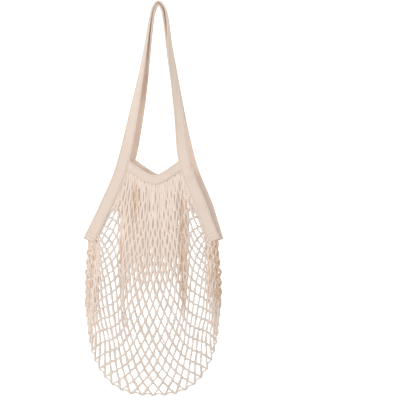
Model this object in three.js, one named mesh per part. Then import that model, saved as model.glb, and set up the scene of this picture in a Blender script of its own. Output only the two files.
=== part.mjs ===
// A cotton string shopping bag, lying flat on its back with its long handles laid out straight.
// Millimetres. +Y runs from the bottom of the bag to the handles, +X to the right, +Z up.
// A knitted net tube hangs from two curved mouth bands and from two long tapes. Each tape edges
// one side of both armholes and carries on as a handle. Front pieces lie above back pieces.
import * as THREE from "three";

// Tape that edges the armholes and makes the handles
const TAPE_THICK = 2.5;
const TAPE_WIDTH = 20;
const HANDLE_WIDTH = 18.5;
const STEPS_PER_STRETCH = 5;
// Half of a tape's middle line, from the tip at the side of the bag to the top of the handle:
// distance from the bag's middle line, and height
const TAPE_ROUTE = [
  [105, -69],
  [78, -11],
  [58, 41],
  [50, 74],
  [39.5, 141],
  [30, 200],
  [22, 250],
  [15.2, 300],
  [10.5, 320],
];
const TIP_HEIGHT = TAPE_ROUTE[0][1];
const HANDLE_TOP = 329;
const CORNER_HEIGHT = 66;
const TURN_EASE = 1.6;
const NARROWING_FROM = 20;
const NARROWING_TO = 100;
// The handles lean a little to the right as they rise
const LEAN_LOW = -2.6;
const LEAN_HIGH = 8.7;
const LEAN_TO = 220;
// The right tape bows out a little between its tip and the corner of the mouth
const RIGHT_BOW = 3.6;
const BOW_FROM = -20;
const BOW_TO = 0;
const BOW_END = 45;

// How the back layer lies under the front one
const BACK_SHIFT = 9;
const LEFT_SHIFT_FULL = 20;
const LEFT_NEST_FROM = 100;
const LEFT_NEST_TO = 300;
const RIGHT_CROSS_FROM = 60;
const RIGHT_CROSS_TO = 210;
const RIGHT_SHIFT_FULL = -49;
const RIGHT_TIP_SHIFT_SHARE = 0.4;
const HANDLE_NEST = 4.5;
const TIP_LIFT = 9.5;
const CORNER_LIFT = 18.5;
const LIFT_EASE = 1.4;
const FLOOR_GAP = 0.15;

// Mouth bands
const MOUTH_BAND_WIDTH = 16;
const MOUTH_BAND_POINTS = 4;
const MOUTH_MIDDLE_X = 2;
const MOUTH_REACH = 50;
const MOUTH_DIP_HEIGHT = 32.5;
const MOUTH_RISE = 29;
const MOUTH_ROUNDING = 0.3;
const MOUTH_ARCH = 3.2;
const MOUTH_SINK = 1.5;
const BACK_MOUTH_RAISE = 3;
// Share of the mouth band's half length at which the back band has come up over its tape
const MOUTH_LAP_SHARE = 0.75;

// Net: cells counted from the middle of a layer to the fold, and rows of knots from mouth to seam
const NET_COLUMNS = 18;
const NET_ROWS = 22;
const MOUTH_COLUMNS = 10;
const TIP_ROW = 9;
const STRING_WIDTH = 2.6;
const STRING_RISE = 1.3;
const STRING_DROP = 1.1;
const KNOT_SHARE = 0.42;
// Outline of the net body
const BODY_HALF_WIDTH = 113;
const BODY_BULGE_HEIGHT = -166;
const BODY_BOTTOM = -328;
const BODY_SQUARENESS = 2.65;
const OUTLINE_STEPS = 240;
const SEAM_REACH = 168;
const SEAM_CROWDING = 0.3;
const FOLD_TOP = [107.5, -66];
const FOLD_FULL_HEIGHT = -135;
const ARMHOLE_TOP = [46, 45];
const ARMHOLE_TIP = [99.5, -62];
// The strings hang bunched from the mouth, spread at the belly and open out at the bottom
const BUNDLE_STEP = 5.25;
const BUNDLE_SHARE = 0.5;
const SPREAD_FROM_COLUMN = MOUTH_COLUMNS - 2;
const SPREAD_TO_COLUMN = MOUTH_COLUMNS + 3;
const ROW_STRETCH = 0.1;
const BELLY_FALL = 40;
const OPENING_SHARE = 0.42;
const BACK_SHIFT_SHARE = 0.6;
// The front layer swells up from the mouth, highest above the middle, and comes down to the seam
const BODY_LOFT = 20;
const LOFT_LOW = 1.1;
const LOFT_ONSET = 1.5;
const LOFT_ENDING = 0.9;
const LOFT_FLATNESS = 4;
const FOLD_LOFT = 5;
const FOLD_SHARPNESS = 8;
const FLOOR_CLEAR = 1.4;
// The back layer comes down from its bands to the floor and rises to the seam: shares of a column
const SETTLE_FROM = 0.06;
const SETTLE_TO = 0.2;
const SEAM_RISE_FROM = 0.9;
// Share of the armhole over which the back net comes down from the mouth band to the tape
const BACK_DROP_SHARE = 0.3;
const SEAM_LIFT = 3;
// Clear space between the net and the bands sewn over it
const SEW_GAP = 1.4;
const BAND_GAP = 1.2;
const TUCK = 4;

const COTTON = { color: 0xe6d3c2, roughness: 0.95, metalness: 0 };
const SHADED_COTTON = { color: 0xd6bfab, roughness: 0.95, metalness: 0 };
const STRING_COTTON = { color: 0xe3d2c4, roughness: 0.9, metalness: 0 };

function smooth(from, to, value) {
  const t = Math.min(1, Math.max(0, (value - from) / (to - from)));
  return t * t * (3 - 2 * t);
}

function mix(a, b, share) {
  return a + (b - a) * share;
}

function lean(height) {
  return mix(LEAN_LOW, LEAN_HIGH, smooth(TIP_HEIGHT, LEAN_TO, height));
}

// How far to the right of its even place a side of the tape lies
function bow(side, height) {
  if (side < 0) {
    return 0;
  }
  return RIGHT_BOW * smooth(TIP_HEIGHT, BOW_FROM, height) * smooth(BOW_END, BOW_TO, height);
}

// Share of the way up the handle, from the corner of the mouth to the top
function handleShare(height) {
  return Math.min(1, Math.max(0, (height - CORNER_HEIGHT) / (HANDLE_TOP - CORNER_HEIGHT)));
}

// The tape lies flat beside the net and turns on edge towards the top of the handle
function tapeTurn(height) {
  return (Math.PI / 2) * (1 - (1 - handleShare(height)) ** TURN_EASE);
}

function tapeWidth(height) {
  return mix(TAPE_WIDTH, HANDLE_WIDTH, smooth(NARROWING_FROM, NARROWING_TO, height));
}

// Middle height of a tape that rests on the floor at that turn
function restingHeight(height) {
  const turn = tapeTurn(height);
  const onEdge = (tapeWidth(height) / 2) * Math.sin(turn);
  return onEdge + (TAPE_THICK / 2) * Math.cos(turn) + FLOOR_GAP;
}

// How far the front tape lies above the back one
function frontLift(height) {
  if (height < CORNER_HEIGHT) {
    return mix(TIP_LIFT, CORNER_LIFT, (height - TIP_HEIGHT) / (CORNER_HEIGHT - TIP_HEIGHT));
  }
  return CORNER_LIFT * (1 - handleShare(height)) ** LIFT_EASE;
}

// The back layer lies a little to the right of the front one. Up the handles it comes to lie
// inside the front loop.
function backShift(side, height) {
  if (side < 0) {
    const low = BACK_SHIFT * smooth(TIP_HEIGHT, LEFT_SHIFT_FULL, height);
    return mix(low, HANDLE_NEST, smooth(LEFT_NEST_FROM, LEFT_NEST_TO, height));
  }
  const tipShift = BACK_SHIFT * (1 - RIGHT_TIP_SHIFT_SHARE);
  const low = mix(tipShift, BACK_SHIFT, smooth(TIP_HEIGHT, RIGHT_SHIFT_FULL, height));
  return mix(low, -HANDLE_NEST, smooth(RIGHT_CROSS_FROM, RIGHT_CROSS_TO, height));
}

function tapePoint(side, reach, height, isFront) {
  const x = side * reach + lean(height) + bow(side, height);
  const z = restingHeight(height);
  if (isFront) {
    return new THREE.Vector3(x, height, z + frontLift(height));
  }
  const inside = reach === 0 ? 0 : backShift(side, height);
  return new THREE.Vector3(x + inside, height - HANDLE_NEST * handleShare(height), z);
}

function tapeCurve(isFront) {
  const left = TAPE_ROUTE.map(([reach, height]) => tapePoint(-1, reach, height, isFront));
  const right = TAPE_ROUTE.map(([reach, height]) => tapePoint(1, reach, height, isFront)).reverse();
  const top = tapePoint(1, 0, HANDLE_TOP, isFront);
  return new THREE.CatmullRomCurve3([...left, top, ...right], false, "centripetal");
}

function closedGeometry(points, faces) {
  const geometry = new THREE.BufferGeometry();
  const positions = new Float32Array(points.flatMap((point) => point.toArray()));
  geometry.setAttribute("position", new THREE.BufferAttribute(positions, 3));
  geometry.setIndex(faces.flat());
  geometry.computeVertexNormals();
  return geometry;
}

// A band with rounded edges along a curve. turnAt tips it outwards about its own length.
function bandGeometry(curve, widthAt, turnAt) {
  const steps = (curve.points.length - 1) * STEPS_PER_STRETCH;
  const points = [];
  const faces = [];
  const half = TAPE_THICK / 2;
  const corners = 6;
  for (let step = 0; step <= steps; step += 1) {
    const middle = curve.getPoint(step / steps);
    const along = curve.getTangent(step / steps).setZ(0).normalize();
    const out = new THREE.Vector3(-along.y, along.x, 0);
    const turn = turnAt(middle.y);
    const across = out.clone().multiplyScalar(Math.cos(turn));
    across.z = -Math.sin(turn);
    const face = out.clone().multiplyScalar(Math.sin(turn));
    face.z = Math.cos(turn);
    const edge = widthAt(middle.y) / 2;
    const section = [
      [edge, 0],
      [edge - half, half],
      [half - edge, half],
      [-edge, 0],
      [half - edge, -half],
      [edge - half, -half],
    ];
    for (const [sideways, up] of section) {
      points.push(middle.clone().addScaledVector(across, sideways).addScaledVector(face, up));
    }
  }
  for (let step = 0; step < steps; step += 1) {
    for (let corner = 0; corner < corners; corner += 1) {
      const a = step * corners + corner;
      const b = step * corners + ((corner + 1) % corners);
      faces.push([a, b, a + corners], [b, b + corners, a + corners]);
    }
  }
  const last = steps * corners;
  for (let corner = 1; corner < corners - 1; corner += 1) {
    faces.push([0, corner + 1, corner], [last, last + corner, last + corner + 1]);
  }
  return closedGeometry(points, faces);
}

// The mouth rises in two nearly straight slopes from a rounded middle
function mouthHeight(offset) {
  const slope = (share) => Math.hypot(share, MOUTH_ROUNDING) - MOUTH_ROUNDING;
  return MOUTH_DIP_HEIGHT + (MOUTH_RISE * slope(offset / MOUTH_REACH)) / slope(1);
}

// The front band runs under the ends of the front tape, the back band over the back tape
function mouthLevel(offset, isFront) {
  const share = Math.abs(offset) / MOUTH_REACH;
  const stacked = TAPE_THICK + BAND_GAP;
  const tapeLevel = restingHeight(CORNER_HEIGHT);
  if (isFront) {
    return tapeLevel + CORNER_LIFT - MOUTH_SINK - stacked + MOUTH_ARCH * (1 - share ** 2);
  }
  return tapeLevel + stacked * smooth(0, MOUTH_LAP_SHARE, share);
}

function mouthCurve(isFront) {
  const shift = isFront ? 0 : BACK_SHIFT;
  const raise = isFront ? 0 : BACK_MOUTH_RAISE;
  const points = [];
  for (let place = -MOUTH_BAND_POINTS; place <= MOUTH_BAND_POINTS; place += 1) {
    const offset = (MOUTH_REACH * place) / MOUTH_BAND_POINTS;
    const x = MOUTH_MIDDLE_X + shift + offset;
    points.push(new THREE.Vector3(x, mouthHeight(offset) + raise, mouthLevel(offset, isFront)));
  }
  return new THREE.CatmullRomCurve3(points);
}

// Half outline of the net's bottom and side, as points a small step apart
function bottomOutline() {
  const points = [];
  for (let step = 0; step <= OUTLINE_STEPS; step += 1) {
    const angle = ((Math.PI / 2) * step) / OUTLINE_STEPS;
    const x = BODY_HALF_WIDTH * Math.sin(angle) ** (2 / BODY_SQUARENESS);
    const rise = (BODY_BULGE_HEIGHT - BODY_BOTTOM) * Math.cos(angle) ** (2 / BODY_SQUARENESS);
    points.push([x, BODY_BULGE_HEIGHT - rise]);
  }
  return points;
}

const OUTLINE = bottomOutline();

// Point of the bottom outline at a length along it from the middle
function outlineAt(length) {
  let left = length;
  for (let step = 1; step < OUTLINE.length; step += 1) {
    const [ax, ay] = OUTLINE[step - 1];
    const [bx, by] = OUTLINE[step];
    const piece = Math.hypot(bx - ax, by - ay);
    if (left <= piece) {
      return [mix(ax, bx, left / piece), mix(ay, by, left / piece)];
    }
    left -= piece;
  }
  return OUTLINE[OUTLINE.length - 1];
}

// Half width of the body at a height
function sideReach(height) {
  if (height >= BODY_BULGE_HEIGHT) {
    return mix(FOLD_TOP[0], BODY_HALF_WIDTH, smooth(FOLD_TOP[1], FOLD_FULL_HEIGHT, height));
  }
  const fall = (BODY_BULGE_HEIGHT - height) / (BODY_BULGE_HEIGHT - BODY_BOTTOM);
  return BODY_HALF_WIDTH * (1 - Math.min(1, fall) ** BODY_SQUARENESS) ** (1 / BODY_SQUARENESS);
}

// Point of the bottom seam under a column
function seamPoint(column) {
  const share = Math.abs(column) / NET_COLUMNS;
  const [x, y] = outlineAt(SEAM_REACH * ((1 + SEAM_CROWDING) * share - SEAM_CROWDING * share ** 2));
  return [Math.sign(column) * x, y];
}

// Share of the way down the armhole tape at a column past the corner of the mouth
function armholeShare(column) {
  return Math.max(0, (Math.abs(column) - MOUTH_COLUMNS) / (NET_COLUMNS - MOUTH_COLUMNS));
}

function firstRow(column) {
  return TIP_ROW * armholeShare(column);
}

// Distance of a column's sewn end from the middle of the mouth band
function mouthOffset(column) {
  return ARMHOLE_TOP[0] * Math.max(-1, Math.min(1, column / MOUTH_COLUMNS));
}

// Where a column of the net is sewn to its band
function sewnPoint(column) {
  const share = armholeShare(column);
  if (share === 0) {
    const offset = mouthOffset(column);
    return [MOUTH_MIDDLE_X + offset, mouthHeight(offset) - TUCK];
  }
  const y = mix(ARMHOLE_TOP[1], ARMHOLE_TIP[1], share);
  const side = Math.sign(column);
  return [side * mix(ARMHOLE_TOP[0], ARMHOLE_TIP[0], share) + lean(y) + bow(side, y), y];
}

// How far the back layer lies to the right of the front one at a column
function sewnShift(column) {
  const share = armholeShare(column);
  return column < 0 ? BACK_SHIFT * (1 - share) : BACK_SHIFT * (1 - RIGHT_TIP_SHIFT_SHARE * share ** 3);
}

// Height above the floor of the sewn end of a column
function sewnLevel(column, isFront) {
  const share = armholeShare(column);
  const offset = mouthOffset(column);
  const under = TAPE_THICK / 2 + SEW_GAP + STRING_RISE;
  const tapeLevel = TAPE_THICK / 2 + FLOOR_GAP;
  if (isFront) {
    return mix(mouthLevel(offset, true), tapeLevel + TIP_LIFT, share) - under;
  }
  return mix(mouthLevel(offset, false), tapeLevel, smooth(0, BACK_DROP_SHARE, share)) + under;
}

// Level of the fold at the side of the bag
function foldLevel(share) {
  const tipLevel = (sewnLevel(NET_COLUMNS, true) + sewnLevel(NET_COLUMNS, false)) / 2;
  return mix(tipLevel, SEAM_LIFT, share) + FOLD_LOFT * Math.sin(Math.PI * share);
}

// Place of the net at a column and row of one layer
function netPoint(column, row, isFront) {
  const start = firstRow(column);
  const share = (row - start) / (NET_ROWS - start);
  const [topX, topY] = sewnPoint(column);
  const [seamX, seamY] = seamPoint(column);
  const y = mix(topY, seamY, share + ROW_STRETCH * share * (1 - share));
  const isFold = Math.abs(column) === NET_COLUMNS;
  const bellyReach = sideReach(Math.max(y, BODY_BULGE_HEIGHT - BELLY_FALL));
  const spread = smooth(SPREAD_FROM_COLUMN, SPREAD_TO_COLUMN, Math.abs(column));
  const spare = bellyReach - BUNDLE_STEP * NET_COLUMNS;
  const bellyX = Math.sign(column) * (BUNDLE_STEP * Math.abs(column) + spare * spread);
  const opening = Math.max(0, (share - OPENING_SHARE) / (1 - OPENING_SHARE)) ** 2;
  let x = mix(topX, bellyX, smooth(0, BUNDLE_SHARE, share)) + (seamX - bellyX) * opening;
  if (isFold) {
    x = Math.sign(column) * sideReach(y);
  }
  const shift = isFront || isFold ? 0 : sewnShift(column) * (1 - smooth(0, BACK_SHIFT_SHARE, share));
  const inward = 1 - (Math.abs(column) / NET_COLUMNS) ** LOFT_FLATNESS;
  const sewn = sewnLevel(column, isFront);
  let z;
  if (isFold) {
    z = foldLevel(share);
  } else if (isFront) {
    const loft = Math.sin(Math.PI * share ** LOFT_LOW) ** mix(LOFT_ONSET, LOFT_ENDING, share);
    z = mix(sewn, SEAM_LIFT, share) + BODY_LOFT * loft * inward ** 0.5;
  } else {
    const floor = mix(sewn, FLOOR_CLEAR, smooth(SETTLE_FROM, SETTLE_TO, share));
    z = mix(floor, SEAM_LIFT, smooth(SEAM_RISE_FROM, 1, share));
  }
  return new THREE.Vector3(x + shift, y, z);
}

// Outward direction of the net's surface at a knot
function netOutward(column, row, isFront) {
  const side = Math.sign(column);
  if (row === NET_ROWS) {
    const [ax, ay] = seamPoint(Math.abs(column) - 0.5);
    const [bx, by] = seamPoint(Math.abs(column) + 0.5);
    if (column === 0) {
      return new THREE.Vector3(0, -1, 0);
    }
    return new THREE.Vector3(side * (by - ay), -(bx - ax), 0).normalize();
  }
  if (Math.abs(column) === NET_COLUMNS) {
    return new THREE.Vector3(side, 0, 0);
  }
  const tip = side * (Math.abs(column) / NET_COLUMNS) ** FOLD_SHARPNESS;
  return new THREE.Vector3(tip, 0, isFront ? 1 : -1).normalize();
}

// Knots of the whole tube. Both layers share the knots on the folds and on the bottom seam.
function netKnots() {
  const knots = new Map();
  const key = (column, row, isFront) => {
    const shared = row === NET_ROWS || Math.abs(column) === NET_COLUMNS;
    return `${column},${row},${shared || isFront ? "front" : "back"}`;
  };
  const inNet = (column, row) => row > firstRow(column);
  const add = (column, row, isFront) => {
    const name = key(column, row, isFront);
    if (!knots.has(name)) {
      knots.set(name, {
        point: netPoint(column, row, isFront),
        outward: netOutward(column, row, isFront),
        legs: [],
      });
    }
    return knots.get(name);
  };
  for (const isFront of [true, false]) {
    for (let row = 1; row <= NET_ROWS; row += 1) {
      for (let column = -NET_COLUMNS; column <= NET_COLUMNS; column += 1) {
        if ((column + row) % 2 !== 0 || !inNet(column, row)) {
          continue;
        }
        const knot = add(column, row, isFront);
        for (const above of [column - 1, column + 1]) {
          if (Math.abs(above) > NET_COLUMNS) {
            continue;
          }
          if (inNet(above, row - 1)) {
            const upper = add(above, row - 1, isFront);
            knot.legs.push({ to: upper });
            upper.legs.push({ to: knot });
          } else {
            const [x, y] = sewnPoint(above);
            const shift = isFront ? 0 : sewnShift(above);
            knot.legs.push({ end: new THREE.Vector3(x + shift, y, sewnLevel(above, isFront)) });
          }
        }
      }
    }
  }
  return [...knots.values()];
}

// One closed solid of all the strings: each leg is a three-sided prism with its ridge outwards,
// and neighbouring legs share the corners between them at each knot
function netGeometry() {
  const knots = netKnots();
  const points = [];
  const faces = [];
  const push = (point) => points.push(point) - 1;
  for (const knot of knots) {
    const { point, outward } = knot;
    const east = new THREE.Vector3(0, 1, 0).cross(outward);
    if (east.length() < 0.5) {
      east.set(1, 0, 0);
    }
    east.normalize();
    const north = outward.clone().cross(east);
    for (const leg of knot.legs) {
      leg.run = (leg.to ? leg.to.point : leg.end).clone().sub(point);
      leg.angle = Math.atan2(leg.run.dot(north), leg.run.dot(east));
    }
    knot.legs.sort((a, b) => a.angle - b.angle);
    knot.ridge = push(point.clone().addScaledVector(outward, STRING_RISE));
    knot.corners = knot.legs.map((leg, index) => {
      const next = knot.legs[(index + 1) % knot.legs.length];
      let between = next.angle - leg.angle;
      if (between <= 0) {
        between += 2 * Math.PI;
      }
      const shortest = Math.min(leg.run.length(), next.run.length());
      const away = Math.min(STRING_WIDTH / 2 / Math.sin(between / 2), KNOT_SHARE * shortest);
      const middle = leg.angle + between / 2;
      const corner = point.clone().addScaledVector(outward, -STRING_DROP);
      corner.addScaledVector(east, away * Math.cos(middle));
      corner.addScaledVector(north, away * Math.sin(middle));
      return push(corner);
    });
    for (let corner = 1; corner < knot.corners.length - 1; corner += 1) {
      faces.push([knot.corners[0], knot.corners[corner + 1], knot.corners[corner]]);
    }
  }
  const legEnd = (knot, index) => ({
    ridge: knot.ridge,
    left: knot.corners[index],
    right: knot.corners[(index + knot.corners.length - 1) % knot.corners.length],
  });
  const done = new Set();
  for (const knot of knots) {
    knot.legs.forEach((leg, index) => {
      const near = legEnd(knot, index);
      let far;
      if (leg.to) {
        if (done.has(leg.to)) {
          return;
        }
        const back = leg.to.legs.findIndex((other) => other.to === knot);
        const turned = legEnd(leg.to, back);
        far = { ridge: turned.ridge, left: turned.right, right: turned.left };
      } else {
        const leftward = knot.outward.clone().cross(leg.run).normalize();
        const base = leg.end.clone().addScaledVector(knot.outward, -STRING_DROP);
        far = {
          ridge: push(leg.end.clone().addScaledVector(knot.outward, STRING_RISE)),
          left: push(base.clone().addScaledVector(leftward, STRING_WIDTH / 2)),
          right: push(base.clone().addScaledVector(leftward, -STRING_WIDTH / 2)),
        };
        faces.push([far.ridge, far.right, far.left]);
      }
      faces.push([near.ridge, far.ridge, near.left], [far.ridge, far.left, near.left]);
      faces.push([near.ridge, near.right, far.ridge], [far.ridge, near.right, far.right]);
      faces.push([near.left, far.left, near.right], [far.left, far.right, near.right]);
    });
    done.add(knot);
  }
  return closedGeometry(points, faces);
}

const bag = new THREE.Group();

function addPiece(name, geometry, finish) {
  const piece = new THREE.Mesh(geometry, new THREE.MeshStandardMaterial(finish));
  piece.name = name;
  bag.add(piece);
}

addPiece("net", netGeometry(), STRING_COTTON);
for (const [layer, isFront, finish] of [["front", true, COTTON], ["back", false, SHADED_COTTON]]) {
  const tape = bandGeometry(tapeCurve(isFront), tapeWidth, tapeTurn);
  addPiece(`${layer}_handle`, tape, finish);
  const mouth = bandGeometry(mouthCurve(isFront), () => MOUTH_BAND_WIDTH, () => 0);
  addPiece(`${layer}_mouth_band`, mouth, finish);
}

export default bag;
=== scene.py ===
import math

import bpy
import numpy as np
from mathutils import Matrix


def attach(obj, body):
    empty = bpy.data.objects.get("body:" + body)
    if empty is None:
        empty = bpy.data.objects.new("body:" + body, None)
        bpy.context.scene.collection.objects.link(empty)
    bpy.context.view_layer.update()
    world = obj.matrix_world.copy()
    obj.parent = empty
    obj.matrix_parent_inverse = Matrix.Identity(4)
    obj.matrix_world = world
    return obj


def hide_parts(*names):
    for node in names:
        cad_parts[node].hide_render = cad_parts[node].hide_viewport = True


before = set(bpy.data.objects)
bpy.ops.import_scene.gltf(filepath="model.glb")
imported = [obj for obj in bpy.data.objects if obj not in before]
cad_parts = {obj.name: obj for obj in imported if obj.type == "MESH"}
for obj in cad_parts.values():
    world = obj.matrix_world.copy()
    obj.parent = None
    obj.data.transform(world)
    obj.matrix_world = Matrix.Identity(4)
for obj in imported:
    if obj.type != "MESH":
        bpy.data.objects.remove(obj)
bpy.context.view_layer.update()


# Handle tapes. Two long flat knitted cotton tapes with lengthwise ribs, one for the front and one
# for the back. Each edges the net from the left side tip to the mouth, rises as a handle, turns on
# edge towards the top and comes down the right side. The two are squared off and sewn at the tips.
MM = 0.001  # lengths are in millimetres; a height runs along the bag, a level stands off the floor
TAPE_ROOM = 2.5
TAPE_THICK = 2.1
FOLDED_THICK = 4.25
TAPE_WIDTH = 20.0
HANDLE_WIDTH = 18.5
TAPE_RIBS = 7
RIB_DEPTH = 0.30
RIB_POINTS = 6
EDGE_WOBBLE = 0.35
TAPE_STEP = 3.5
TAPE_SEED = 11
TAPE_ROUTE = [(105, -69), (78, -11), (58, 41), (50, 74), (39.5, 141), (30, 200), (22, 250),
              (15.2, 300), (10.5, 320)]  # reach to the side, height
TIP_HEIGHT = -69.0
CORNER_HEIGHT = 66.0
HANDLE_TOP = 330.6
TIP_LEAN = -2.6
TOP_LEAN = 8.7
LEAN_END = 220.0
LEFT_EASE = (1.25, 1.45)
RIGHT_EASE = (0.85, 1.15)
BACK_SHIFT = 10.0
LEFT_SHIFT = 9.4
RIGHT_PULL = 2.8
RIGHT_BOW = 3.6
LEFT_PULL = 1.6
HANDLE_NEST = 4.3
TILT_APART = math.radians(3)
LEFT_TILT_SHARE = -0.3
FLOOR_GAP = 0.15
TIP_LIFT = 9.5
CORNER_LIFT = 18.5
SEAM_FROM_EDGE = 2.6
SEAM_SINK = 0.2
TIP_SEAMS = (2, 4, -5, -3)
STITCH_LENGTH = 2.6
STITCH_PITCH = 3.6
THREAD = 0.5
THREAD_SIDES = 6
TAPE_CREAM = (0.860, 0.725, 0.625, 1.0)
TAPE_TAN = (0.780, 0.630, 0.525, 1.0)
THREAD_CREAM = (0.740, 0.590, 0.480, 1.0)
THREAD_TAN = (0.660, 0.510, 0.400, 1.0)
# Painted shade: a darker copy of the tape's two creams, for the faces that look into the bag and lie in the
# front tape's shade.
SHADED_CREAM = (0.740, 0.612, 0.522, 1.0)
SHADED_TAN = (0.650, 0.517, 0.430, 1.0)
# Share of the darker cream that gives the painted shade in creases and folds.
CREASE_PAINTED_SHADE = (0.86, 0.76, 0.66, 1.0)
# Painted shade on the inside faces of the handle tapes, partway up where they turn on edge.
HANDLE_PAINTED_SHADE = 0.3
# On the right, between two heights, the inside faces keep the lit cream instead of the painted shade;
# painted shade fades back in at the lower end.
LIT_REACH = 40.0
LIT_FROM = 40.0
LIT_TO = 135.0
LIT_FADE = 54.0
LIT_EDGE_SHADE = 0.35


def mix(a, b, share):
    """Value that lies a share of the way from a to b."""
    return a + (b - a) * share


def smooth(start, end, value):
    """Share of the way from start to end, from 0 to 1, eased at both ends."""
    t = np.clip((np.asarray(value, float) - start) / (end - start), 0, 1)
    return t * t * (3 - 2 * t)


def lean(height):
    """How far to the right the middle between the two sides of the tapes hangs."""
    return mix(TIP_LEAN, TOP_LEAN, smooth(TIP_HEIGHT, LEAN_END, height))


def handle_share(height):
    """Share of the way from the mouth's corners to the top of the handle."""
    return np.clip((np.asarray(height, float) - CORNER_HEIGHT) / (HANDLE_TOP - CORNER_HEIGHT), 0, 1)


def tape_turn(side, height):
    """How far a tape has turned from lying flat to standing on edge, in radians."""
    share = handle_share(height)
    left_ease = mix(*LEFT_EASE, smooth(0.3, 0.5, share))
    right_ease = mix(*RIGHT_EASE, smooth(0.6, 0.8, share))
    ease = np.where(np.asarray(side) < 0, left_ease, right_ease)
    return math.pi / 2 * (1 - (1 - share) ** ease)


def tape_width(height):
    """Width of a tape, drawn a little narrower where it is a handle."""
    return mix(TAPE_WIDTH, HANDLE_WIDTH, smooth(40, 140, height))


def tape_rest(side, height):
    """Level of a tape's middle where it lies on the floor."""
    turn = tape_turn(side, height)
    return tape_width(height) / 2 * np.sin(turn) + TAPE_ROOM / 2 * np.cos(turn) + FLOOR_GAP


def tape_lift(height):
    """How far what lies between the layers lifts the front tape off the floor."""
    low = mix(TIP_LIFT, CORNER_LIFT, (height - TIP_HEIGHT) / (CORNER_HEIGHT - TIP_HEIGHT))
    return low if height < CORNER_HEIGHT else CORNER_LIFT * (1 - handle_share(height)) ** 1.4


def back_shift(side, height):
    """How far to the right of the front tape the back one lies; at the top it nests inside it."""
    nested = HANDLE_NEST * (1 - 0.4 * smooth(305, HANDLE_TOP, height))
    if side < 0:
        return mix(LEFT_SHIFT * smooth(0, 60, height), nested, smooth(165, 305, height))
    sewn = BACK_SHIFT * mix(0.6, 1, smooth(TIP_HEIGHT, TIP_HEIGHT + 20, height))
    return sewn * (1 - smooth(45, 175, height)) - nested * smooth(225, 290, height)


def pull(side, height):
    """How far the two sides of the handle hang to the left or right of an even loop."""
    if side < 0:
        return LEFT_PULL * smooth(225, 290, height)
    bow = RIGHT_BOW * smooth(TIP_HEIGHT, -20, height) * smooth(45, 0, height)
    return bow - RIGHT_PULL * smooth(35, 80, height) * (1 - smooth(230, 290, height))


def tape_point(side, reach, height, is_front):
    """Point of a tape's middle line. The top of the loop has no reach to either side."""
    x = side * reach + lean(height) + (pull(side, height) if reach else 0)
    if is_front:
        return (x, height, tape_rest(side, height) + tape_lift(height))
    inward = back_shift(side, height) if reach else 0
    return (x + inward, height - HANDLE_NEST * smooth(290, HANDLE_TOP, height), tape_rest(side, height))


def run_along(line):
    """Distance of each point of a line from its start."""
    return np.concatenate([[0], np.cumsum(np.linalg.norm(np.diff(line, axis=0), axis=1))])


def smooth_line(points, step):
    """Points a step apart along a smooth curve through the given ones."""
    p = np.asarray(points, float)
    p = np.vstack([2 * p[0] - p[1], p, 2 * p[-1] - p[-2]])
    spacing = np.linalg.norm(np.diff(p, axis=0), axis=1) ** 0.5
    at = np.concatenate([[0], np.cumsum(spacing)])
    line = []
    for k in range(1, len(p) - 2):
        t0, t1, t2, t3 = at[k - 1:k + 3]
        t = np.linspace(t1, t2, 24, endpoint=False)[:, None]
        a1 = (t1 - t) / (t1 - t0) * p[k - 1] + (t - t0) / (t1 - t0) * p[k]
        a2 = (t2 - t) / (t2 - t1) * p[k] + (t - t1) / (t2 - t1) * p[k + 1]
        a3 = (t3 - t) / (t3 - t2) * p[k + 1] + (t - t2) / (t3 - t2) * p[k + 2]
        b1 = (t2 - t) / (t2 - t0) * a1 + (t - t0) / (t2 - t0) * a2
        b2 = (t3 - t) / (t3 - t1) * a2 + (t - t1) / (t3 - t1) * a3
        line.append((t2 - t) / (t2 - t1) * b1 + (t - t1) / (t2 - t1) * b2)
    line = np.vstack(line + [p[-2][None]])
    run = run_along(line)
    even = np.linspace(0, run[-1], max(2, int(run[-1] / step)) + 1)
    return np.stack([np.interp(even, run, line[:, c]) for c in range(3)], axis=1)


def new_piece(name, points, faces, material, replaced):
    """A smoothly shaded piece of the bag that is seen in the place of a solid."""
    mesh = bpy.data.meshes.new(name)
    mesh.from_pydata((np.asarray(points) * MM).tolist(), [], [list(map(int, f)) for f in faces])
    mesh.polygons.foreach_set("use_smooth", [True] * len(mesh.polygons))
    mesh.materials.append(material)
    mesh.update()
    piece = bpy.data.objects.new(name, mesh)
    bpy.context.scene.collection.objects.link(piece)
    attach(piece, "root")
    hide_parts(replaced)
    return piece


def band_frame(line, turns):
    """Directions across a band and out of its face, for each point of its line."""
    along = np.gradient(line, axis=0)
    along[:, 2] = 0
    along /= np.linalg.norm(along, axis=1, keepdims=True)
    out = np.stack([-along[:, 1], along[:, 0], np.zeros(len(line))], axis=1)
    up = np.array([0, 0, 1.0])
    across = out * np.cos(turns)[:, None] - up * np.sin(turns)[:, None]
    face = up * np.cos(turns)[:, None] + out * np.sin(turns)[:, None]
    return across, face


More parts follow.
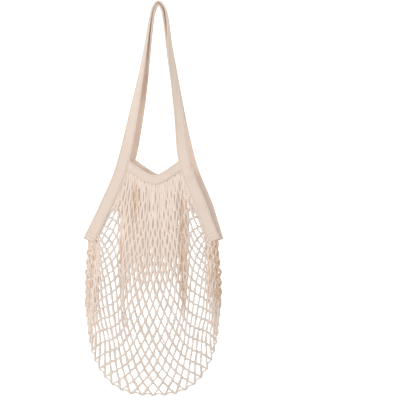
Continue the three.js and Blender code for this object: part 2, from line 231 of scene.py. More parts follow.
def ribbed_band(line, widths, turns, thickness, ribs, seed):
    """A flat tape along a line: rounded selvedges, lengthwise ribs on both faces, closed ends.

    The last value tells for each face of the mesh whether it looks up.
    """
    rng = np.random.default_rng(seed)
    across, face = band_frame(line, turns)
    per_face = RIB_POINTS * ribs + 1
    v = np.linspace(-1, 1, per_face)
    selvedge = (1 - np.abs(v) ** 6) ** 0.5
    relief = RIB_DEPTH * (np.abs(np.cos(math.pi * ribs * (v + 1) / 2)) ** 3) * (1 - v ** 8)
    there_and_back = np.concatenate([v, v[-2:0:-1]])
    swell = np.concatenate([selvedge, -selvedge[-2:0:-1]])
    groove = np.concatenate([-relief, relief[-2:0:-1]])
    depth = np.broadcast_to(thickness, len(line))[:, None] / 2 * swell[None, :] + groove[None, :]
    wobble = np.cumsum(rng.normal(0, 1, len(line)))
    wobble -= np.linspace(wobble[0], wobble[-1], len(line))
    wobble *= EDGE_WOBBLE / max(1e-6, np.abs(wobble).max()) * np.cos(turns)
    aside = there_and_back[None, :] * widths[:, None] / 2 + wobble[:, None]
    points = (line[:, None, :] + across[:, None, :] * aside[:, :, None]
              + face[:, None, :] * depth[:, :, None])
    ring = len(there_and_back)
    faces, looks_up = [], []
    for s in range(len(line) - 1):
        for k in range(ring):
            n = (k + 1) % ring
            faces.append((s * ring + k, (s + 1) * ring + k, (s + 1) * ring + n, s * ring + n))
            looks_up.append(k < per_face - 1)
    faces.append(tuple(range(ring)))
    last = (len(line) - 1) * ring
    faces.append(tuple(last + k for k in range(ring - 1, -1, -1)))
    return points.reshape(-1, 3), faces, np.array(looks_up + [True, True])


def cotton(name, light, dark, patch_scale, grain_scale, bump):
    """Matte undyed cotton: soft blotches of two creams, fine fibre grain, a little fuzz sheen.

    A mesh may carry a value of painted shade plus random streaks, which takes its colour towards the darker
    cream and on to a darker painted crease shade.
    """
    material = bpy.data.materials.new(name)
    material.use_nodes = True
    nodes = material.node_tree.nodes
    links = material.node_tree.links
    shader = nodes["Principled BSDF"]
    shader.inputs["Roughness"].default_value = 0.92
    shader.inputs["Specular IOR Level"].default_value = 0.15
    shader.inputs["Sheen Weight"].default_value = 0.12
    shader.inputs["Sheen Roughness"].default_value = 0.6
    where = nodes.new("ShaderNodeTexCoord")
    patch = nodes.new("ShaderNodeTexNoise")
    patch.inputs["Scale"].default_value = patch_scale
    patch.inputs["Detail"].default_value = 3.0
    grain = nodes.new("ShaderNodeTexNoise")
    grain.inputs["Scale"].default_value = grain_scale
    grain.inputs["Detail"].default_value = 2.0
    ramp = nodes.new("ShaderNodeValToRGB")
    ramp.color_ramp.elements[0].position = 0.30
    ramp.color_ramp.elements[0].color = dark
    ramp.color_ramp.elements[1].position = 0.62
    ramp.color_ramp.elements[1].color = light
    # The darkest stop is painted shade for creases and folds.
    crease = ramp.color_ramp.elements.new(0.0)
    crease.color = [part * painted_shade for part, painted_shade in zip(dark, CREASE_PAINTED_SHADE)]
    blend = nodes.new("ShaderNodeMath")
    blend.operation = "MULTIPLY_ADD"
    blend.inputs[1].default_value = 0.35
    # The mesh value is painted shade, plus a random streak on strings.
    shade_and_streaks = nodes.new("ShaderNodeAttribute")
    shade_and_streaks.attribute_name = "shade_and_streaks"
    shaded_tone = nodes.new("ShaderNodeMath")
    shaded_tone.operation = "SUBTRACT"
    relief = nodes.new("ShaderNodeBump")
    relief.inputs["Strength"].default_value = bump
    relief.inputs["Distance"].default_value = 0.0004
    links.new(where.outputs["Object"], patch.inputs["Vector"])
    links.new(where.outputs["Object"], grain.inputs["Vector"])
    links.new(grain.outputs["Fac"], blend.inputs[0])
    links.new(patch.outputs["Fac"], blend.inputs[2])
    links.new(blend.outputs["Value"], shaded_tone.inputs[0])
    links.new(shade_and_streaks.outputs["Fac"], shaded_tone.inputs[1])
    links.new(shaded_tone.outputs["Value"], ramp.inputs["Fac"])
    links.new(ramp.outputs["Color"], shader.inputs["Base Color"])
    links.new(grain.outputs["Fac"], relief.inputs["Height"])
    links.new(relief.outputs["Normal"], shader.inputs["Normal"])
    return material


def joined(parts):
    """Points and faces of several meshes as one."""
    points, faces, base = [], [], 0
    for p, f in parts:
        points.append(p)
        faces += [tuple(i + base for i in face) for face in f]
        base += len(p)
    return np.vstack(points), faces


def stitch_row(path, normals):
    """Separate stitches of thread along a path on a band's face."""
    run = run_along(path)
    n = THREAD_SIDES
    turn = np.linspace(0, 2 * math.pi, n, endpoint=False)
    radius = THREAD * np.array([0.3, 1, 1, 0.3])[:, None, None]
    faces = [(n * r + k, n * r + (k + 1) % n, n * (r + 1) + (k + 1) % n, n * (r + 1) + k)
             for r in range(3) for k in range(n)]
    faces += [tuple(range(n - 1, -1, -1)), tuple(range(3 * n, 4 * n))]
    stitches = []
    for start in np.arange(0.5, run[-1] - STITCH_LENGTH, STITCH_PITCH):
        at = start + STITCH_LENGTH * np.array([0, 0.2, 0.8, 1])
        line = np.stack([np.interp(at, run, path[:, c]) for c in range(3)], axis=1)
        face = np.stack([np.interp(at, run, normals[:, c]) for c in range(3)], axis=1)
        side = np.cross(face, line[-1] - line[0])
        side /= np.linalg.norm(side, axis=1, keepdims=True)
        rings = (line[:, None, :] + side[:, None, :] * np.cos(turn)[None, :, None] * radius
                 + face[:, None, :] * np.sin(turn)[None, :, None] * radius)
        stitches.append((rings.reshape(-1, 3), faces))
    return stitches


def band_seams(line, turns, width, thickness, outward):
    """A row of stitches near each edge of a band, on the face that looks out of the bag."""
    across, face = band_frame(line, turns)
    rows = []
    for edge in (-1, 1):
        inset = edge * (np.broadcast_to(width, len(line)) / 2 - SEAM_FROM_EDGE)
        lift = outward * (np.broadcast_to(thickness, len(line)) / 2 - SEAM_SINK)
        rows += stitch_row(line + across * inset[:, None] + face * lift[:, None], outward * face)
    return rows


def cross_seam(line, turns, width, thickness, outward, index):
    """A row of stitches straight across a band at one point of its line."""
    across, face = band_frame(line, turns)
    reach = np.linspace(-1, 1, 9)[:, None] * (width / 2 - SEAM_FROM_EDGE)
    path = line[index] + across[index] * reach + face[index] * outward * (thickness / 2 - SEAM_SINK)
    return stitch_row(path, np.repeat(outward * face[index][None], 9, axis=0))


def face_middles(piece):
    """Middle of each face of a piece's mesh."""
    middles = np.empty(3 * len(piece.data.polygons))
    piece.data.polygons.foreach_get("center", middles)
    return middles.reshape(-1, 3) / MM


def two_faced(piece, inside, shade_and_streaks):
    """Gives the chosen inside faces a shaded copy of the tape's cotton as painted shade, and every face a
    value of further painted shade.
    """
    piece.data.materials.append(tape_shaded)
    piece.data.polygons.foreach_set("material_index", inside.astype(int))
    piece.data.attributes.new("shade_and_streaks", "FLOAT", "FACE").data.foreach_set("value", shade_and_streaks)
    piece.data.update()


tape_cotton = cotton("ribbed_cotton_tape", TAPE_CREAM, TAPE_TAN, 45.0, 1500.0, 0.5)
# The second tape material is the same cotton with painted shade.
tape_shaded = cotton("ribbed_cotton_tape_shaded", SHADED_CREAM, SHADED_TAN, 45.0, 1500.0, 0.5)
sewing_thread = cotton("sewing_thread", THREAD_CREAM, THREAD_TAN, 45.0, 2500.0, 0.3)
for layer, is_front in (("front", True), ("back", False)):
    outward = 1 if is_front else -1
    left = [tape_point(-1, reach, height, is_front) for reach, height in TAPE_ROUTE]
    right = [tape_point(1, reach, height, is_front) for reach, height in TAPE_ROUTE]
    line = smooth_line(left + [tape_point(1, 0, HANDLE_TOP, is_front)] + right[::-1], TAPE_STEP)
    top = int(np.argmax(line[:, 1]))
    sides = np.where(np.arange(len(line)) <= top, -1, 1)
    share = handle_share(line[:, 1])
    tilt_share = mix(LEFT_TILT_SHARE, 1, smooth(-8, 8, line[:, 0] - lean(HANDLE_TOP)))
    turns = tape_turn(sides, line[:, 1]) + outward * TILT_APART * smooth(0.6, 0.9, share) * tilt_share
    widths = tape_width(line[:, 1])
    thickness = mix(TAPE_THICK, FOLDED_THICK, smooth(0.45, 0.85, share))
    points, faces, looks_up = ribbed_band(line, widths, turns, thickness, TAPE_RIBS, TAPE_SEED)
    piece = new_piece(f"{layer}_tape", points, faces, tape_cotton, f"{layer}_handle")
    inside = looks_up != is_front
    x, y, _ = face_middles(piece).T
    # Inside faces on the right between these heights keep the lit cream; a painted shade fades back in at
    # their lower end.
    left_lit = inside & (x > LIT_REACH) & (y > LIT_FROM) & (y < LIT_TO)
    up = handle_share(y)
    # Painted shade on the inside faces, partway up the handle.
    painted_shade = HANDLE_PAINTED_SHADE * smooth(0.15, 0.33, up) * (1 - smooth(0.45, 0.85, up))
    shade_at_lit_edge = LIT_EDGE_SHADE * smooth(LIT_FADE, LIT_FROM, y)
    two_faced(piece, inside & ~left_lit, np.where(left_lit, shade_at_lit_edge, painted_shade * inside))
    seams = band_seams(line, turns, widths, thickness, outward)
    for index in TIP_SEAMS:
        seams += cross_seam(line, turns, TAPE_WIDTH, TAPE_THICK, outward, index)
    points, faces = joined(seams)
    new_piece(f"{layer}_tape_seams", points, faces, sewing_thread, f"{layer}_handle")


# Mouth bands. A shorter, slightly narrower tape of the same ribbed cotton curves across the mouth
# of each layer. Its ends are tucked behind the front handle tape, or laid over the back one, and
# sewn there; the gathered top edge of the net is sewn under its lower half.
MOUTH_WIDTH = 16.0
MOUTH_THICK = 1.8
MOUTH_MIDDLE = 2.0
MOUTH_REACH = 50.0
MOUTH_LOW = 32.5
MOUTH_RISE = 29.0
MOUTH_ROUNDING = 0.3
MOUTH_RIBS = 6
MOUTH_STEP = 2.5
MOUTH_SEED = 5
MOUTH_PAINTED_SHADE = 0.15
BACK_MOUTH_RAISE = 1.5


def mouth_height(offset):
    """Height of a mouth band's middle line at a place to the left or right of its lowest point."""
    bend = np.hypot(offset / MOUTH_REACH, MOUTH_ROUNDING) - MOUTH_ROUNDING
    return MOUTH_LOW + MOUTH_RISE * bend / (math.hypot(1, MOUTH_ROUNDING) - MOUTH_ROUNDING)


def mouth_level(offset, is_front):
    """Level of a mouth band: nearly flush with its tapes, stacked on or under them at its ends."""
    share = np.abs(offset) / MOUTH_REACH
    stacked = (TAPE_THICK + MOUTH_THICK) / 2 + 0.1
    level = tape_rest(-1, CORNER_HEIGHT)
    if is_front:
        flush = CORNER_LIFT - mix(0.3, 1.5, smooth(0.3, 0.8, share))
        return level + flush - stacked * smooth(0.9, 1, share)
    return level + stacked * smooth(0.35, 0.65, share)


for layer, is_front in (("front", True), ("back", False)):
    outward = 1 if is_front else -1
    offset = np.linspace(-MOUTH_REACH, MOUTH_REACH, 21)
    x = MOUTH_MIDDLE + (0 if is_front else BACK_SHIFT) + offset
    y = mouth_height(offset) + (0 if is_front else BACK_MOUTH_RAISE)
    line = smooth_line(np.stack([x, y, mouth_level(offset, is_front)], axis=1), MOUTH_STEP)
    flat = np.zeros(len(line))
    widths = flat + MOUTH_WIDTH
    points, faces, looks_up = ribbed_band(line, widths, flat, MOUTH_THICK, MOUTH_RIBS, MOUTH_SEED)
    piece = new_piece(f"{layer}_mouth", points, faces, tape_cotton, f"{layer}_mouth_band")
    inside = looks_up != is_front
    # The inside faces of the mouth band get the shaded copy and a little more painted shade.
    two_faced(piece, inside, MOUTH_PAINTED_SHADE * inside)
    points, faces = joined(band_seams(line, flat, MOUTH_WIDTH, MOUTH_THICK, outward))
    new_piece(f"{layer}_mouth_seams", points, faces, sewing_thread, f"{layer}_mouth_band")


# Net. Two-ply twisted cotton string knitted into a tube of diamonds, front and back in one: each
# string zigzags from the mouth to the bottom and is looped to its left and right neighbour in turn.
# It hangs gathered and dense from the mouth, spreads at the sides and opens out at the bottom.
COLUMNS = 27
ROWS = 26
MOUTH_COLUMNS = 15
TIP_ROW = 12
STRING_RADIUS = 1.42
SLACK_RADIUS = 2.12
TAUT_RADIUS = 1.45
STRING_SIDES = 7
TWIST_PITCH = 9.0
TWIST_DEPTH = 0.13
STRING_FLATNESS = 0.8
BODY_HALF = 113.0
SIDE_TOP_HALF = 107.5
SIDE_TOP = -66.0
BULGE_HEIGHT = -166.0
BOTTOM = -329.5
SQUARENESS = 2.65
SEAM_REACH = 222.0
SEAM_INSET = 1.8
SEAM_LEVEL = 3.0
EDGE_DIP = 4.8
SEWN_REACH = 46.0
SEWN_DROP = 4.0
ARMHOLE_TOP = 45.0
ARMHOLE_TIP = -62.0
ARMHOLE_TIP_REACH = 102.0
MOUTH_SHIFT = 1.8
NET_SHIFT = 10.0
BACK_OFFSET = 0.55
GATHER_HEIGHTS = (-328, -310, -285, -243, -200, -150, -100, -60, 30)
GATHER_STEPS = (9.6, 8.3, 7.3, 6.3, 5.3, 4.35, 3.9, 3.5, 3.1)
BUNCH_FROM = 84.0
BUNCH_FULL = 92.0
# Painted shade in the pleats and the bunched edge of the net.
BUNCH_PAINTED_SHADE = 0.7
BUNCH_GREY = 0.55
LADDER_RISE = 16.0
LOFT = 20.0
WANDER = 1.0
SLIP = 5.0
FOLD_DEPTH = 1.5
STRAIGHT_HIGH = 0.45
STRAIGHT_LOW = 0.22
PLEAT_COLUMNS = 4
PLEAT_STEP = 2.2
PLEATS = ((-27, -25, 22, 1.0), (-52, -190, -30, 0.4), (50, -170, 0, 1.0))  # middle, low, high, painted shade
PLEAT_REACH = 7.5
PLEAT_DRAW = 0.4
PLEAT_DEPTH = 9.0
PLEAT_PAINTED_SHADE = 0.5
STREAK = 0.06
FRAY = 0.45
BUNCH_FRAY = 0.3
LEVEL_FRAY = 0.2
STRING_CREAM = (0.935, 0.795, 0.690, 1.0)
STRING_TAN = (0.860, 0.700, 0.585, 1.0)
SINGLE_GREY = (0.895, 0.940, 0.985, 1.0)
SETTLINGS = 6
NET_SEED = 7
fray = np.random.default_rng(NET_SEED)
slips = fray.uniform(-1, 1, 2 * COLUMNS + 1)

# The outline of the net's right half, from the middle of the bottom to the top of the side.
angle = np.linspace(0, math.pi / 2, 400)
rising = np.linspace(BULGE_HEIGHT, SIDE_TOP, 60)[1:]
bottom_x = BODY_HALF * np.sin(angle) ** (2 / SQUARENESS)
bottom_y = BULGE_HEIGHT + (BOTTOM - BULGE_HEIGHT) * np.cos(angle) ** (2 / SQUARENESS)
side_x = mix(BODY_HALF, SIDE_TOP_HALF, smooth(-135, SIDE_TOP, rising))
outline = np.stack([np.append(bottom_x, side_x), np.append(bottom_y, rising)], axis=1)
outline_run = run_along(outline)


def seam_point(column, inset):
    """Point of the bottom edge under a column, a little inside the outline."""
    share = np.abs(column) / COLUMNS
    run = SEAM_REACH * (1.18 * share - 0.18 * share ** 2) + np.array([-0.5, 0, 0.5])
    x, y = np.interp(run, outline_run, outline[:, 0]), np.interp(run, outline_run, outline[:, 1])
    dx, dy = x[2] - x[0], y[2] - y[0]
    inward = np.array([-dy, dx]) / math.hypot(dx, dy) if column else np.array([0, 1.0])
    place = np.array([x[1], y[1]]) + inset * inward
    return place * (-1 if column < 0 else 1, 1)


def side_reach(height):
    """How far out the side of the bag lies."""
    return float(np.interp(height, outline[:, 1], outline[:, 0]))


def past_mouth(column):
    """Share of the way from the mouth's last column to the side column."""
    return max(0.0, (abs(column) - MOUTH_COLUMNS) / (COLUMNS - MOUTH_COLUMNS))


def armhole_share(column):
    """Share of the way down the armhole; the last columns crowd towards its tip."""
    return float(np.interp(past_mouth(column), (0, 0.25, 0.42, 1), (0, 0.6, 0.85, 1)))


def first_row(column):
    """Row at which a column starts; those along the armhole start lower."""
    return TIP_ROW * past_mouth(column)


def row_share(column, row):
    """Share of the way from a column's start to the bottom."""
    return (row - first_row(column)) / (ROWS - first_row(column))


def sewn_point(column):
    """Where a column is sewn to the mouth band or, past its ends, to the tape."""
    share = armhole_share(column)
    if share == 0:
        offset = SEWN_REACH * column / MOUTH_COLUMNS
        return np.array([MOUTH_MIDDLE + offset, mouth_height(offset) - SEWN_DROP])
    y = mix(ARMHOLE_TOP, ARMHOLE_TIP, share)
    side = np.sign(column)
    return np.array([side * mix(SEWN_REACH, ARMHOLE_TIP_REACH, share) + lean(y) + pull(side, y), y])


def sewn_shift(column):
    """How far to the right of the front layer the back one is sewn on."""
    share = armhole_share(column)
    if column < MOUTH_COLUMNS:
        return MOUTH_SHIFT * (1 - share)
    at_side = smooth(MOUTH_COLUMNS - 2, MOUTH_COLUMNS + 2, column)
    return mix(MOUTH_SHIFT, NET_SHIFT * (1 - 0.5 * share ** 3), at_side)


def sewn_level(column, is_front):
    """Level at which a column is sewn on: under the front bands and over the back ones."""
    share = armhole_share(column)
    offset = SEWN_REACH * np.clip(column / MOUTH_COLUMNS, -1, 1)
    under = (TAPE_THICK + SLACK_RADIUS) / 2 + 0.4
    if is_front:
        return mix(mouth_level(offset, True), TAPE_ROOM / 2 + TIP_LIFT, share) - under
    return mix(mouth_level(offset, False), TAPE_ROOM / 2, smooth(0, 0.3, share)) + under


column_list = np.arange(COLUMNS + 1)
seam_places = np.array([seam_point(c, SEAM_INSET) for c in column_list])
armhole_places = np.array([sewn_point(c) for c in range(MOUTH_COLUMNS, COLUMNS + 1)])


def gather_step(height):
    """Sideways step from one column to the next in the middle of the net."""
    return np.interp(height, GATHER_HEIGHTS, GATHER_STEPS)


def bunch_start(height, gathered, along, reach):
    """Column at which the open ladder ends and the bunched edge begins, and how far out it lies."""
    down = smooth(-145, -215, height)
    bunched = mix(gathered + 3.1, 17, down)
    return bunched, reach - mix(28, 8, down) * np.clip((along - bunched) / 4, 0.1, 1)


def column_reach(column, height):
    """How far out a column lies at a height: gathered middle, edge pleat, open ladder, bunched edge."""
    step = gather_step(height)
    if height > ARMHOLE_TIP:
        down = -armhole_places[:, 1]
        along = np.interp(-height, down, np.arange(MOUTH_COLUMNS, COLUMNS + 1))
        reach = np.interp(-height, down, armhole_places[:, 0] - lean(armhole_places[:, 1]))
    elif height > seam_places[-1, 1]:
        along, reach = COLUMNS, side_reach(height)
    else:
        along = np.interp(height, seam_places[:, 1], column_list)
        reach = np.interp(height, seam_places[:, 1], seam_places[:, 0])
    gather_edge = min(reach, np.interp(height, (-60, -30, -10), (57, 61, 66)))
    gathered = min(gather_edge / step, along - 0.3)
    drawn = smooth(0, -40, height) * smooth(-240, -190, height)
    pleat_width = mix(gather_edge / gathered, PLEAT_STEP, drawn) * PLEAT_COLUMNS
    stops = [(0, 0), (gathered - PLEAT_COLUMNS, gather_edge - pleat_width), (gathered, gather_edge)]
    bunched, bunch_reach = bunch_start(height, gathered, along, reach)
    if gathered + 0.5 < bunched < along - 0.5:
        stops.append((bunched, bunch_reach))
    stops.append((along, reach))
    c, x = np.array(stops).T
    return float(np.interp(abs(column), c, x))


def hung_point(column, row):
    """Where a knot lies on the way from the band to the seam."""
    share = row_share(column, row)
    top, seam = sewn_point(column), seam_point(column, SEAM_INSET)
    y = float(mix(top[1], seam[1], 1.066 * share - 0.4125 * max(0, share - 0.6) ** 2))
    if abs(column) == COLUMNS:
        return np.array([np.sign(column) * side_reach(y), y])
    if row == ROWS:
        return seam
    beside = np.clip((abs(column) - 60 / gather_step(y)) / 5, 0, 1)
    y += LADDER_RISE * beside * smooth(-80, -130, y) * smooth(-322, -285, y)
    hung = np.sign(column) * column_reach(column, y)
    x = mix(top[0], hung, smooth(0, 0.25, share))
    return np.array([x, y])


def pleated(x, y):
    """Place drawn towards the pleats, how deep it lies in one, and how much painted shade it gets there."""
    depth, shade_and_streaks = np.zeros_like(x), np.zeros_like(x)
    for middle, low, high, pleat_shade in PLEATS:
        near = np.exp(-((x - middle) / PLEAT_REACH) ** 2)
        near = near * smooth(low - 35, low, y) * smooth(high + 15, high - 15, y)
        x = x - PLEAT_DRAW * (x - middle) * near
        depth = np.maximum(depth, near)
        shade_and_streaks = np.maximum(shade_and_streaks, pleat_shade * near)
    return x, depth, shade_and_streaks


# The knots by column and row, the ends that are sewn to a band, and the legs of string between them.
# Every free knot settles towards the middle of those that it hangs from and holds.
knots = {}
for row in range(1, ROWS + 1):
    for column in range(-COLUMNS, COLUMNS + 1):
        if (column + row) % 2 == 0 and row > first_row(column):
            knots[column, row] = len(knots)
place = np.array([hung_point(*k) for k in knots])
free = np.array([float(abs(c) < COLUMNS and r < ROWS) for c, r in knots])
ends = {}
legs = []
for (column, row), n in knots.items():
    for above in (column - 1, column + 1):
        if (above, row - 1) in knots:
            legs.append((n, knots[above, row - 1]))
        elif abs(above) <= COLUMNS:
            end = ends.setdefault(above, len(knots) + len(ends))
            legs.append((n, end))
place = np.vstack([place] + [sewn_point(c)[None] for c in ends])
free = np.concatenate([free, np.zeros(len(ends))])
legs = np.array(legs)
degree = np.bincount(legs.ravel(), minlength=len(place))[:, None]
for settling in range(SETTLINGS):
    run = place[legs[:, 1]] - place[legs[:, 0]]
    move = np.zeros_like(place)
    np.add.at(move, legs[:, 0], run)
    np.add.at(move, legs[:, 1], -run)
    place += 0.5 * move * free[:, None] / degree


def knot_place(column, row, is_front):
    """Place of a knot, or of the end that is sewn to a band, in the front or back layer."""
    n = knots.get((column, row))
    share = row_share(column, row)
    if n is None:
        x, y = place[ends[column]]
        shift = 0 if is_front else sewn_shift(column)
        return np.array([x + shift, y, sewn_level(column, is_front)])
    x, y = place[n]
    phase = 0.4 if is_front else 2.3
    if free[n]:
        stray = WANDER * smooth(-150, -230, y)
        aside = stray * math.sin(0.09 * y + 0.05 * x + phase)
        along = stray * math.sin(0.08 * x - 0.04 * y + phase)
        x, y = x + aside, y + along
    slip = SLIP * slips[column + COLUMNS] * smooth(0, 0.1, share)
    y += slip * smooth(-200, -100, y) * smooth(75, 50, abs(x))
    if abs(column) == COLUMNS:
        tip = (sewn_level(COLUMNS, True) + sewn_level(COLUMNS, False)) / 2
        return np.array([x, y, mix(tip, SEAM_LEVEL, share) + 5 * math.sin(math.pi * share)])
    sewn = sewn_level(column, is_front)
    if is_front:
        loft = math.sin(math.pi * share ** 1.1) ** mix(1.5, 0.9, share)
        z = mix(sewn, SEAM_LEVEL, share) + LOFT * loft * (1 - (abs(column) / COLUMNS) ** 4) ** 0.5
        x, depth, _ = pleated(x, y)
        z -= PLEAT_DEPTH * depth
        fold = FOLD_DEPTH * math.sin(0.85 * column + 1.3 * math.sin(0.37 * column))
        z += fold * smooth(0, 0.1, share) * smooth(-190, -90, y)
        return np.array([x, y, z])
    floor_level = mix(sewn, mix(2.6, 5, smooth(-170, -60, y)), smooth(0.02, 0.16, share))
    uneven = 22 * math.sin(0.7 * column + 2 * math.sin(0.31 * column))
    shift = BACK_OFFSET * gather_step(y) * smooth(-180, -60, y + uneven)
    if column > 0:
        shift = mix(shift, sewn_shift(column), smooth(13, 17, column) * smooth(-30, 10, y))
    shift *= 1 - smooth(48, 65, abs(x)) * smooth(-5, -35, y)
    return np.array([x + shift, y, mix(floor_level, SEAM_LEVEL, smooth(0.9, 1, share))])


def in_the_bunch(x):
    """How far a place lies in the bunched edge of the net, from 0 to 1."""
    return smooth(BUNCH_FROM, BUNCH_FULL, np.abs(x))


def in_the_open(x, y):
    """How far a place lies in the open ladder beside the gathered middle, from 0 to 1."""
    return smooth(52, 62, np.abs(x)) * smooth(-5, -30, y) * (1 - in_the_bunch(x))


def frayed(point):
    """A knot a little off its place, and more so in the bunched edge."""
    stray = FRAY + BUNCH_FRAY * in_the_bunch(point[0]) * smooth(-240, -200, point[1])
    return point + np.append(fray.normal(0, stray, 2), fray.normal(0, LEVEL_FRAY))


def hung_straight(points):
    """A string's knots drawn towards the line it hangs along, in the gathered middle of the net."""
    points = np.array(points)
    x, y = points[:, 0], points[:, 1]
    line = (np.append(x[1], x[:-1]) + 2 * x + np.append(x[1:], x[-2])) / 4
    straight = mix(STRAIGHT_LOW, STRAIGHT_HIGH, smooth(-60, 10, y))
    points[:, 0] = mix(x, line, straight * smooth(-190, -70, y) * smooth(74, 56, np.abs(x)))
    return points


def string_path(points):
    """A smooth line through knots, running beside the next string for a little way at each."""
    bends = [points[0]]
    for before, knot, after in zip(points, points[1:], points[2:]):
        side = (before + after) / 2 - knot
        side *= 0.65 * STRING_RADIUS / max(0.5, np.linalg.norm(side))
        along = after - before
        along *= 1.7 / max(1.0, np.linalg.norm(along))
        bends += [knot + side - along, knot + side + along]
    bends.append(points[-1])
    bends = np.array(bends)
    padded = np.vstack([2 * bends[0] - bends[1], bends, 2 * bends[-1] - bends[-2]])
    line = []
    for k in range(len(bends) - 1):
        p0, p1, p2, p3 = padded[k:k + 4]
        steps = 6 if k % 2 == 0 else 2
        t = np.linspace(0, 1, steps, endpoint=False)[:, None]
        line.append(0.5 * (2 * p1 + (p2 - p0) * t + (2 * p0 - 5 * p1 + 4 * p2 - p3) * t ** 2
                           + (3 * p1 - p0 - 3 * p2 + p3) * t ** 3))
    return np.vstack(line + [bends[-1][None]])


def twisted_tube(line, radius, sides):
    """Points and faces of a two-ply string along a line."""
    along = np.gradient(line, axis=0)
    along /= np.linalg.norm(along, axis=1, keepdims=True)
    side = np.cross(along, [0, 0, 1.0])
    side /= np.maximum(1e-6, np.linalg.norm(side, axis=1, keepdims=True))
    face = np.cross(side, along)
    twist = 2 * math.pi * run_along(line)[:, None] / TWIST_PITCH
    ring = np.linspace(0, 2 * math.pi, sides, endpoint=False)
    reach = 1 + TWIST_DEPTH * np.cos(2 * (ring[None, :] - twist))
    reach *= np.broadcast_to(radius, len(line))[:, None]
    points = (line[:, None, :] + side[:, None, :] * (reach * np.cos(ring))[:, :, None]
              + face[:, None, :] * (STRING_FLATNESS * reach * np.sin(ring))[:, :, None])
    n = len(line)
    a = np.arange((n - 1) * sides).reshape(n - 1, sides)
    b = np.roll(a, -1, axis=1)
    faces = [tuple(q) for q in np.stack([a, a + sides, b + sides, b], axis=2).reshape(-1, 4)]
    faces.append(tuple(range(sides)))
    faces.append(tuple((n - 1) * sides + k for k in range(sides - 1, -1, -1)))
    return points.reshape(-1, 3), faces


def grey_where_single(material):
    """Adds the greyer look of single strings, where a mesh carries a value named single."""
    nodes = material.node_tree.nodes
    links = material.node_tree.links
    shader = nodes["Principled BSDF"]
    cream = shader.inputs["Base Color"].links[0].from_socket
    single = nodes.new("ShaderNodeAttribute")
    single.attribute_name = "single"
    tint = nodes.new("ShaderNodeMixRGB")
    tint.blend_type = "MULTIPLY"
    tint.inputs["Color2"].default_value = SINGLE_GREY
    links.new(single.outputs["Fac"], tint.inputs["Fac"])
    links.new(cream, tint.inputs["Color1"])
    links.new(tint.outputs["Color"], shader.inputs["Base Color"])


def mark_single(piece):
    """Marks the strings that lie singly: low in the net and in the open ladder."""
    places = np.empty(3 * len(piece.data.vertices))
    piece.data.vertices.foreach_get("co", places)
    x, y = places[0::3] / MM, places[1::3] / MM
    bunched = in_the_bunch(x) * smooth(-250, -215, y)
    low = np.clip((-60 - y) / 140, 0, 1) * (1 - BUNCH_GREY * bunched)
    single = np.maximum(low, in_the_open(x, y))
    piece.data.attributes.new("single", "FLOAT", "POINT").data.foreach_set("value", single)


string_cotton = cotton("twisted_cotton_string", STRING_CREAM, STRING_TAN, 60.0, 2200.0, 0.6)
grey_where_single(string_cotton)
for layer, is_front in (("front", True), ("back", False)):
    strings, shade_and_streaks = [], []
    for string in range(-COLUMNS, COLUMNS):
        columns = [string if (string + row) % 2 == 0 else string + 1 for row in range(ROWS + 1)]
        start = next(row for row in range(1, ROWS + 1)
                     if all((columns[r], r) in knots for r in range(row, ROWS + 1)))
        points = [knot_place(columns[row], row, is_front) for row in range(start - 1, ROWS + 1)]
        line = string_path(hung_straight([frayed(p) for p in points]))
        x, y = line[:, 0], line[:, 1]
        thick = mix(SLACK_RADIUS, TAUT_RADIUS, in_the_open(x, y))
        radius = mix(STRING_RADIUS, thick, smooth(-190, -70, y))
        strings.append(twisted_tube(line, radius, STRING_SIDES))
        bunched = in_the_bunch(x)
        # Painted shade in the pleats and the bunched edge, plus a random tone streak for each string.
        crease = pleated(x, y)[2] + BUNCH_PAINTED_SHADE * bunched * smooth(-215, -155, y)
        streak = fray.normal(0, STREAK) * (1 + 2 * bunched)
        shade_and_streaks.append(np.repeat(PLEAT_PAINTED_SHADE * crease + streak, STRING_SIDES))
    points, faces = joined(strings)
    piece = new_piece(f"{layer}_net", points, faces, string_cotton, "net")
    piece.data.attributes.new("shade_and_streaks", "FLOAT", "POINT").data.foreach_set("value", np.concatenate(shade_and_streaks))
    mark_single(piece)


# Knots. Where two strings meet, one takes a turn round the other and holds it. The turn is of the
# same cotton string, drawn tight, and stands a little proud of the two that it ties.
KNOT_THREAD = 0.6
KNOT_WIDTH = 1.3
KNOT_DEPTH = 0.9
KNOT_TILT = 1.2
LOOP_STEPS = 12
LOOP_SIDES = 5


def loop_round(middle, along, half_width, half_depth, tilt):
    """A closed loop of string round two strings that lie side by side."""
    along = along / np.linalg.norm(along)
    side = np.cross(along, [0, 0, 1.0])
    side /= np.linalg.norm(side)
    top = np.cross(side, along)
    ring = np.linspace(0, 2 * math.pi, LOOP_STEPS, endpoint=False)[:, None]
    line = middle + side * half_width * np.cos(ring) + top * half_depth * np.sin(ring)
    line = line + along * tilt * np.cos(ring)
    out = side * np.cos(ring) + top * np.sin(ring)
    tube = np.linspace(0, 2 * math.pi, LOOP_SIDES, endpoint=False)
    points = (line[:, None, :] + KNOT_THREAD * (out[:, None, :] * np.cos(tube)[None, :, None]
                                                + along[None, None, :] * np.sin(tube)[None, :, None]))
    faces = []
    for a in range(LOOP_STEPS):
        here, ahead = LOOP_SIDES * a, LOOP_SIDES * ((a + 1) % LOOP_STEPS)
        for k in range(LOOP_SIDES):
            n = (k + 1) % LOOP_SIDES
            faces.append((here + k, here + n, ahead + n, ahead + k))
    return points.reshape(-1, 3), faces


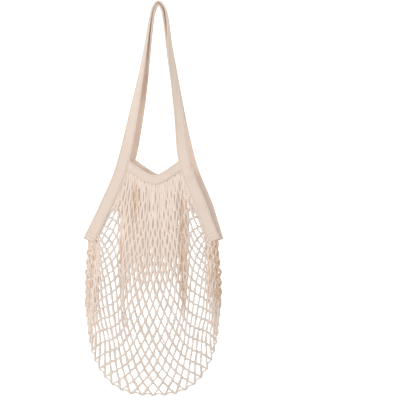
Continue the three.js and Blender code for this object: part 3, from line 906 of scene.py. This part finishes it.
for layer, is_front in (("front", True), ("back", False)):
    loops = []
    for column, row in knots:
        if row == ROWS or abs(column) == COLUMNS or (column, row + 2) not in knots:
            continue
        middle = knot_place(column, row, is_front)
        along = knot_place(column, row + 2, is_front) - middle
        tilt = fray.uniform(-KNOT_TILT, KNOT_TILT)
        loops.append(loop_round(middle, along, KNOT_WIDTH * STRING_RADIUS, KNOT_DEPTH * STRING_RADIUS, tilt))
    points, faces = joined(loops)
    mark_single(new_piece(f"{layer}_knots", points, faces, string_cotton, "net"))


# Armhole edges. Along each side opening the net's outermost loops are bunched into a thick edge,
# a zigzag of string that is caught under the tape's inner rim and sewn to it.
EDGE_LOOP = 3.4
EDGE_INSET = 10.5
EDGE_RADIUS = 1.1
EDGE_SIDES = 6
EDGE_STEP = 1.2
EDGE_TOP = 48.0
EDGE_BOTTOM = -64.0
EDGE_UNDER = 2.6
low_heights, low_reaches = np.array(TAPE_ROUTE)[:4, ::-1].T
for layer, is_front in (("front", True), ("back", False)):
    level = -EDGE_UNDER if is_front else EDGE_UNDER
    edges = []
    for side in (-1, 1):
        zigzag = []
        for k, height in enumerate(np.arange(EDGE_TOP, EDGE_BOTTOM, -EDGE_LOOP / 2)):
            middle = tape_point(side, np.interp(height, low_heights, low_reaches), height, is_front)
            reach = mix(3.2, 8, smooth(-25, 5, height))
            inward = -side * (EDGE_INSET + (reach if k % 2 else -0.5))
            zigzag.append(np.array(middle) + (inward * 0.9, -abs(inward) * 0.42, level))
        edges.append(twisted_tube(smooth_line(np.array(zigzag), EDGE_STEP), EDGE_RADIUS, EDGE_SIDES))
    points, faces = joined(edges)
    mark_single(new_piece(f"{layer}_armhole_edges", points, faces, string_cotton, "net"))


# Bottom edge. One more length of the same string is drawn through the last loops of both layers and
# closes the bottom. It is tied at every second column and dips a little inwards in between.
BOTTOM_SIDES = 8
BOTTOM_STEP = 1.6
edge = []
for column in range(-COLUMNS, COLUMNS + 1):
    tied = (column + ROWS) % 2 == 0
    edge.append(np.append(seam_point(column, SEAM_INSET if tied else EDGE_DIP), SEAM_LEVEL))
points, faces = twisted_tube(smooth_line(np.array(edge), BOTTOM_STEP), STRING_RADIUS, BOTTOM_SIDES)
mark_single(new_piece("bottom_edge", points, faces, string_cotton, "net"))


# Floor, light and camera. The bag lies on a plain white sweep. One broad soft light stands to its
# left and a small one hangs beside the camera, which looks straight down through a long lens.
# Lengths in this section are in metres.
FLOOR_SIZE = 8.0
FRAME_WIDTH = 0.668
FRAME_LEVEL = 0.012
CAMERA_X = 0.0785
CAMERA_Y = -0.0008
CAMERA_LEVEL = 4.0
SENSOR = 36.0
bpy.ops.mesh.primitive_plane_add(size=FLOOR_SIZE, location=(0, 0, 0))
floor = bpy.context.object
floor.name = "floor"
floor_white = bpy.data.materials.new("white_sweep")
floor_white.use_nodes = True
paper = floor_white.node_tree.nodes["Principled BSDF"]
paper.inputs["Base Color"].default_value = (0.88, 0.88, 0.88, 1)
paper.inputs["Roughness"].default_value = 0.9
paper.inputs["Emission Color"].default_value = (1, 1, 1, 1)
paper.inputs["Emission Strength"].default_value = 0.55
floor.data.materials.append(floor_white)

scene = bpy.context.scene
scene.view_settings.view_transform = "Standard"
world = bpy.data.worlds.new("studio")
scene.world = world
world.use_nodes = True
world.node_tree.nodes["Background"].inputs["Color"].default_value = (1, 1, 1, 1)
world.node_tree.nodes["Background"].inputs["Strength"].default_value = 0.25

softbox = bpy.data.objects.new("softbox", bpy.data.lights.new("softbox", "AREA"))
softbox.data.size = 1.4
softbox.data.energy = 16.0
softbox.location = (-1.3, 0.4, 1.9)
softbox.rotation_euler = (math.radians(-12), math.radians(-34), 0)
scene.collection.objects.link(softbox)
overhead = bpy.data.objects.new("overhead", bpy.data.lights.new("overhead", "AREA"))
overhead.data.size = 0.15
overhead.data.energy = 72.0
overhead.location = (CAMERA_X, 0, 3.9)
scene.collection.objects.link(overhead)

camera = bpy.data.objects.new("camera", bpy.data.cameras.new("camera"))
camera.data.sensor_width = SENSOR
camera.data.lens = SENSOR * (CAMERA_LEVEL - FRAME_LEVEL) / FRAME_WIDTH
camera.location = (CAMERA_X, CAMERA_Y, CAMERA_LEVEL)
camera.rotation_euler = (0, 0, 0)
scene.collection.objects.link(camera)
scene.camera = camera
